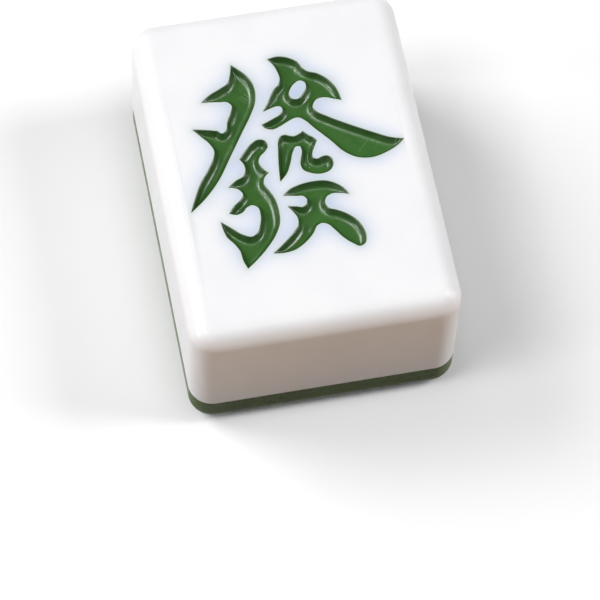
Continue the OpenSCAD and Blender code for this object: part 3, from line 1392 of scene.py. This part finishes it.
@dataclass(frozen=True)
class TileSizes:
    """Sizes that the pieces share, read from the solids where they show them."""

    width: float
    height: float
    back_z: float
    slab_z: float
    block_z: float
    face_z: float
    floor_z: float
    brim_z: float
    corner_r: float = 2.8 * MM

    @classmethod
    def read(cls) -> "TileSizes":
        """Read the sizes.

        Returns:
            The sizes.
        """
        block_low, block_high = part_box(Node.FACE_BLOCK.value)
        slab_low, slab_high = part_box(Node.BACK_SLAB.value)
        coat_low, coat_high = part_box(Stroke.BOW.value)
        size = block_high - block_low
        return cls(size.x, size.y, slab_low.z, slab_high.z, block_low.z, block_high.z,
                   coat_low.z, coat_high.z)


def put(name: str, mesh: bpy.types.Mesh, node: str) -> None:
    """Put a finished mesh in the scene in place of a solid.

    Args:
        name: The piece's name.
        mesh: Its mesh, in place.
        node: The solid that it stands for.
    """
    mesh.name = name
    mesh.shade_smooth()
    piece = bpy.data.objects.new(name, mesh)
    bpy.context.scene.collection.objects.link(piece)
    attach(piece, BODY)
    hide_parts(node)
    mesh.calc_loop_triangles()
    LOG.info("%s: %d triangles", name, len(mesh.loop_triangles))


class SlabShape:
    """A swept shell, whose ends are then closed.

    Attributes:
        points: Its points, one row each.
        faces: The rows of each face.
        flat_end: The rows of the loop at the seam, counter-clockwise from above.
        rolled_end: The rows of the loop where the rolled edge ends, likewise.
    """

    def __init__(self, sweep: SweptShell, material: bpy.types.Material) -> None:
        """Sweep the shell.

        Args:
            sweep: The sweep's sizes.
            material: What the slab is made of.
        """
        mesh = sweep.bake(bpy.data.meshes.new("start"), material)
        self.points = np.array([v.co for v in mesh.vertices], float)
        self.faces = [tuple(face.vertices) for face in mesh.polygons]
        self.flat_end = self.loop(sweep.flat_z)
        self.rolled_end = self.loop(sweep.rolled_z)

    def loop(self, z: float) -> np.ndarray:
        """Find the rows of the loop at one end's height, counter-clockwise from above."""
        rows = np.flatnonzero(np.abs(self.points[:, 2] - z) < WELD)
        return rows[np.argsort(np.arctan2(self.points[rows, 1], self.points[rows, 0]))]

    def grow(self, points: np.ndarray) -> np.ndarray:
        """Add points.

        Args:
            points: The points, one row each.

        Returns:
            Their rows.
        """
        first = len(self.points)
        self.points = np.vstack([self.points, points])
        return np.arange(first, first + len(points))

    def cap(self, loop: np.ndarray, support: float) -> None:
        """Close an end with a flat face inside a narrow band.

        Args:
            loop: The rows of the end's loop.
            support: The width of the band.
        """
        half = np.abs(self.points[loop, :2]).max(axis=0)
        inner = self.points[loop].copy()
        inner[:, :2] *= 1 - support / half
        rows = self.grow(inner)
        ahead = np.roll(loop, -1)
        rows_ahead = np.roll(rows, -1)
        self.faces += list(zip(loop.tolist(), ahead.tolist(), rows_ahead.tolist(), rows.tolist()))
        self.faces.append(tuple(rows.tolist()))

    def mesh(self, name: str) -> bpy.types.Mesh:
        """Make the closed mesh, with its faces outward and a crisp edge at the seam.

        Args:
            name: The mesh's name.

        Returns:
            The mesh.
        """
        mesh = bpy.data.meshes.new(name)
        mesh.from_pydata(self.points.tolist(), [], self.faces)
        seam = set(self.flat_end.tolist())
        work = bmesh.new()
        work.from_mesh(mesh)
        bmesh.ops.recalc_face_normals(work, faces=work.faces)
        for edge in work.edges:
            edge.smooth = not all(v.index in seam for v in edge.verts)
        work.to_mesh(mesh)
        work.free()
        return mesh


def mark_points(mesh: bpy.types.Mesh, mark: Mark, values: np.ndarray) -> None:
    """Write one mark on the points of a mesh."""
    mesh.attributes.new(mark.value, "FLOAT", "POINT").data.foreach_set("value", values.astype(np.float32))


def mark_plan(mesh: bpy.types.Mesh, rims: set[tuple[int, int]], inside: np.ndarray) -> None:
    """Write the marks that shape the pockets on a mesh.

    Args:
        mesh: The mesh.
        rims: Pairs of points that are neighbours on a rim, the lower row first.
        inside: Which points lie in a pocket, off its rim.
    """
    on_rim = [tuple(sorted(edge.vertices)) in rims for edge in mesh.edges]
    mesh.attributes.new(Mark.RIM.value, "BOOLEAN", "EDGE").data.foreach_set("value", on_rim)
    mark_points(mesh, Mark.INSIDE, inside)


def drop_marks(mesh: bpy.types.Mesh) -> None:
    """Take off the marks that only the node trees need."""
    for mark in (Mark.RIM, Mark.INSIDE):
        mesh.attributes.remove(mesh.attributes[mark.value])


@dataclass(frozen=True)
class Groove:
    """The section of the sign's pockets.

    Attributes:
        lip_r: The round of the rim.
        wall_slope: How far the wall falls for each unit that it leans in.
        foot_w: How far in from the rim the hollow foot ends and the flat floor starts.
        foot_r: The radius of the hollow foot.
        blend_h: The height over which the wall turns into the foot.
        coat_t: The enamel's thickness on the floor.
        coat_wall_t: Its thickness on the wall.
        stain_w: How far from a rim the painted shade beside it has faded to about a third.
    """

    lip_r: float = 0.05 * MM
    wall_slope: float = 1.65
    foot_w: float = 0.9 * MM
    foot_r: float = 0.8 * MM
    blend_h: float = 0.04 * MM
    coat_t: float = 0.1 * MM
    coat_wall_t: float = 0.03 * MM
    stain_w: float = 0.3 * MM


@dataclass
class FaceBlock:
    """The white block that carries the engraved face."""

    tile: TileSizes
    groove: Groove
    edge_r: float = 2.4 * MM
    support: float = 0.15 * MM

    def build(self, material: bpy.types.Material) -> FacePlan:
        """Build the block and put it in the scene.

        Args:
            material: What the block is made of.

        Returns:
            The plan of its face, which the enamel follows.
        """
        tile = self.tile
        sweep = SweptShell(tile.width, tile.height, tile.corner_r, self.edge_r, tile.block_z, tile.face_z)
        shape = SlabShape(sweep, material)
        shape.cap(shape.flat_end, self.support)
        plan = FacePlan(shape.points[shape.rolled_end, :2])
        count = len(plan.border)
        added = plan.points[count:]
        rows = np.concatenate([shape.rolled_end,
                               shape.grow(np.column_stack([added, np.full(len(added), tile.face_z)]))])
        for triangles in (plan.land, *plan.pockets.values()):
            shape.faces += [tuple(t) for t in rows[triangles].tolist()]
        mesh = shape.mesh(Node.FACE_BLOCK.value)
        inside = np.zeros(len(shape.points), bool)
        inside[rows] = plan.inside
        # How much of the sign lies round each point, which sets the painted shade among the strokes.
        mark_points(mesh, Mark.STROKE_SHADE, plan.surrounded(shape.points[:, :2]))
        mark_plan(mesh, {tuple(sorted((rows[a], rows[b]))) for a, b in plan.rims}, inside)
        groove = self.groove
        engraved = EngravedFace(groove.lip_r, groove.wall_slope, groove.foot_w, groove.foot_r, groove.blend_h,
                                tile.face_z - tile.floor_z, groove.stain_w)
        result = engraved.bake(mesh, material)
        drop_marks(result)
        put("white_block", result, Node.FACE_BLOCK.value)
        return plan


@dataclass
class BackSlab:
    """The green slab that makes the tile's back."""

    tile: TileSizes
    edge_r: float = 2.6 * MM
    support: float = 0.15 * MM

    def build(self, material: bpy.types.Material) -> None:
        """Build the slab and put it in the scene.

        Args:
            material: What the slab is made of.
        """
        tile = self.tile
        sweep = SweptShell(tile.width, tile.height, tile.corner_r, self.edge_r, tile.slab_z, tile.back_z)
        shape = SlabShape(sweep, material)
        shape.cap(shape.flat_end, self.support)
        shape.cap(shape.rolled_end, self.support)
        mesh = shape.mesh(Node.BACK_SLAB.value)
        mesh.materials.append(material)
        put("green_slab", mesh, Node.BACK_SLAB.value)


@dataclass
class SignEnamel:
    """The enamel in the sign's pockets, one coat for each."""

    tile: TileSizes
    groove: Groove
    plan: FacePlan

    def build(self, material: bpy.types.Material) -> None:
        """Build the coats and put them in the scene.

        Args:
            material: What the enamel is made of.
        """
        tile, groove = self.tile, self.groove
        coat = EnamelCoat(groove.lip_r, groove.wall_slope, groove.foot_w, groove.foot_r, groove.blend_h,
                          tile.face_z - tile.floor_z, tile.face_z - tile.brim_z,
                          groove.coat_t, groove.coat_wall_t)
        for stroke in Stroke:
            mesh = coat.bake(self.flat(stroke), material)
            drop_marks(mesh)
            put(stroke.value.replace("enamel", "coat"), mesh, stroke.value)

    def flat(self, stroke: Stroke) -> bpy.types.Mesh:
        """Lay out one pocket at the height of the face.

        Args:
            stroke: The pocket.

        Returns:
            The flat mesh, with the plan's marks.
        """
        triangles = self.plan.pockets[stroke]
        used = np.unique(triangles)
        where = np.full(len(self.plan.points), -1)
        where[used] = np.arange(len(used))
        mesh = bpy.data.meshes.new(stroke.value)
        points = np.column_stack([self.plan.points[used], np.full(len(used), self.tile.face_z)])
        mesh.from_pydata(points.tolist(), [], where[triangles].tolist())
        rims = {tuple(sorted((where[a], where[b]))) for a, b in self.plan.rims
                if where[a] >= 0 and where[b] >= 0}
        mark_plan(mesh, rims, self.plan.inside[used])
        return mesh


@dataclass
class BondFilm:
    """The film of cement in the seam, which keeps the shape of its solid."""

    def dress(self, material: bpy.types.Material) -> None:
        """Give the solid its finish.

        Args:
            material: What the film is made of.
        """
        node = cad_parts[Node.BOND_FILM.value]
        node.data.materials.clear()
        node.data.materials.append(material)
        LOG.info("%s: keeps its solid", node.name)


def main() -> None:
    """Build the tile, light it and set the camera."""
    logging.basicConfig(level=logging.INFO, format="%(name)s: %(message)s")
    tile = TileSizes.read()
    groove = Groove()
    plan = FaceBlock(tile, groove).build(WhiteMelamine().make())
    BackSlab(tile).build(GreenMelamine().make())
    BondFilm().dress(Cement().make())
    SignEnamel(tile, groove, plan).build(GreenEnamel().make())
    Studio().light(tile)
    Viewpoint().shoot(tile)


if __name__ == "__main__":
    main()
